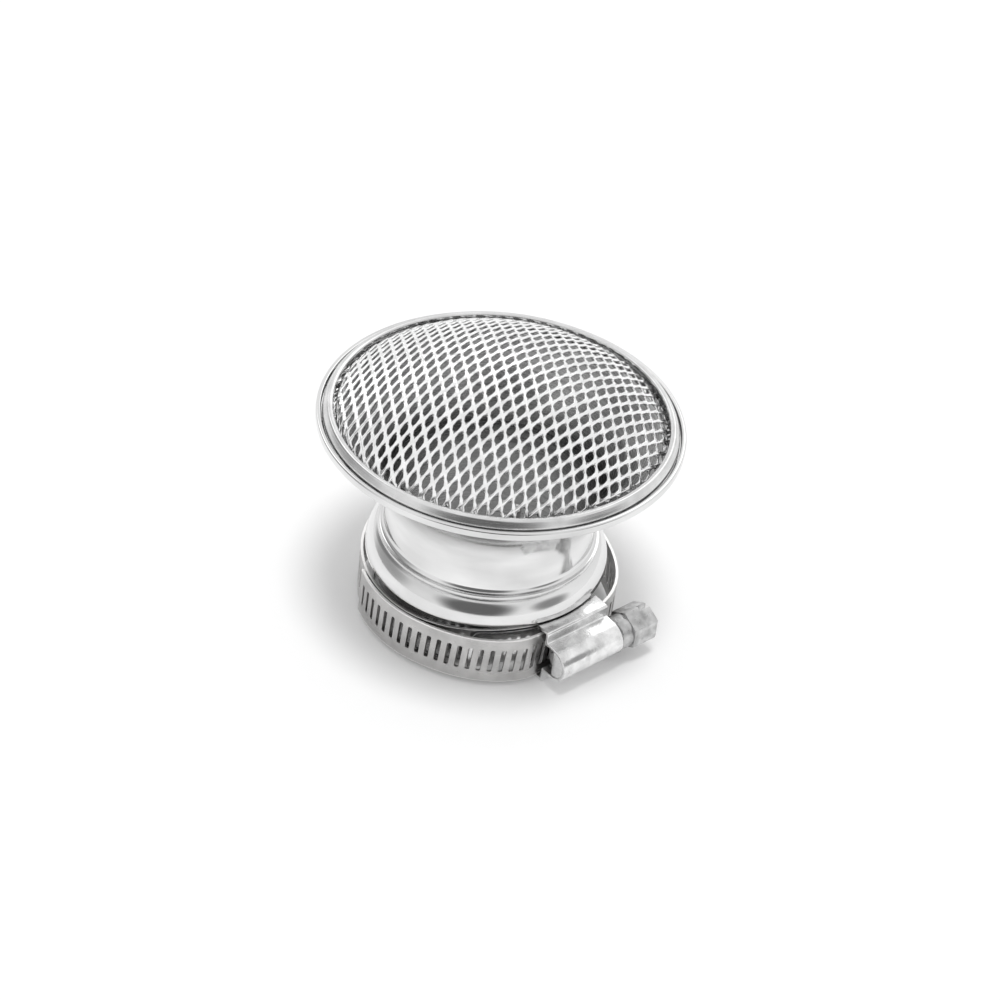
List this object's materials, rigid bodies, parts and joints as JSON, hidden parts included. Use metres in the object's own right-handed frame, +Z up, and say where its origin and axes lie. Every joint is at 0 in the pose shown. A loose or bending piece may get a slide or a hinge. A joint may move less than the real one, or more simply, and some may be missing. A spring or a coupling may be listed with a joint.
{
  "type": "carburettor air filter",
  "caption": "Polished intake trumpet with a domed screen of expanded metal held by a crimp ring, and a worm-drive clamp round its spigot.",
  "frame": {"origin": "centre of the spigot's foot, on the surface that the part stands on", "axes": "+Z up the trumpet's axis to the screen; the clamp's screw lies across the front right, its head towards +X"},
  "size_m": [0.0616, 0.0616, 0.0492],
  "materials": {
    "polished_aluminium": "polished, with faint turning lines",
    "bright_steel_mesh": "bright, raised strands",
    "satin_aluminium": "satin",
    "stainless_strip": "dull rolled strip",
    "bright_plating": "bright, softly dented by forming",
    "dull_zinc": "dull zinc"
  },
  "bodies": {
    "stack": {"trumpet": "polished_aluminium", "mesh_dome": "bright_steel_mesh", "rim_ring": "satin_aluminium", "clamp_band": "stainless_strip", "clamp_housing": "bright_plating"},
    "screw": {"clamp_screw": "dull_zinc"}
  },
  "joints": [
    {"name": "clamp_screw_turn", "type": "hinge", "parent": "stack", "child": "screw", "pos_m": [0.01707, -0.01767, 0.0054], "axis": [0.7193, 0.6947, 0], "continuous": true}
  ]
}
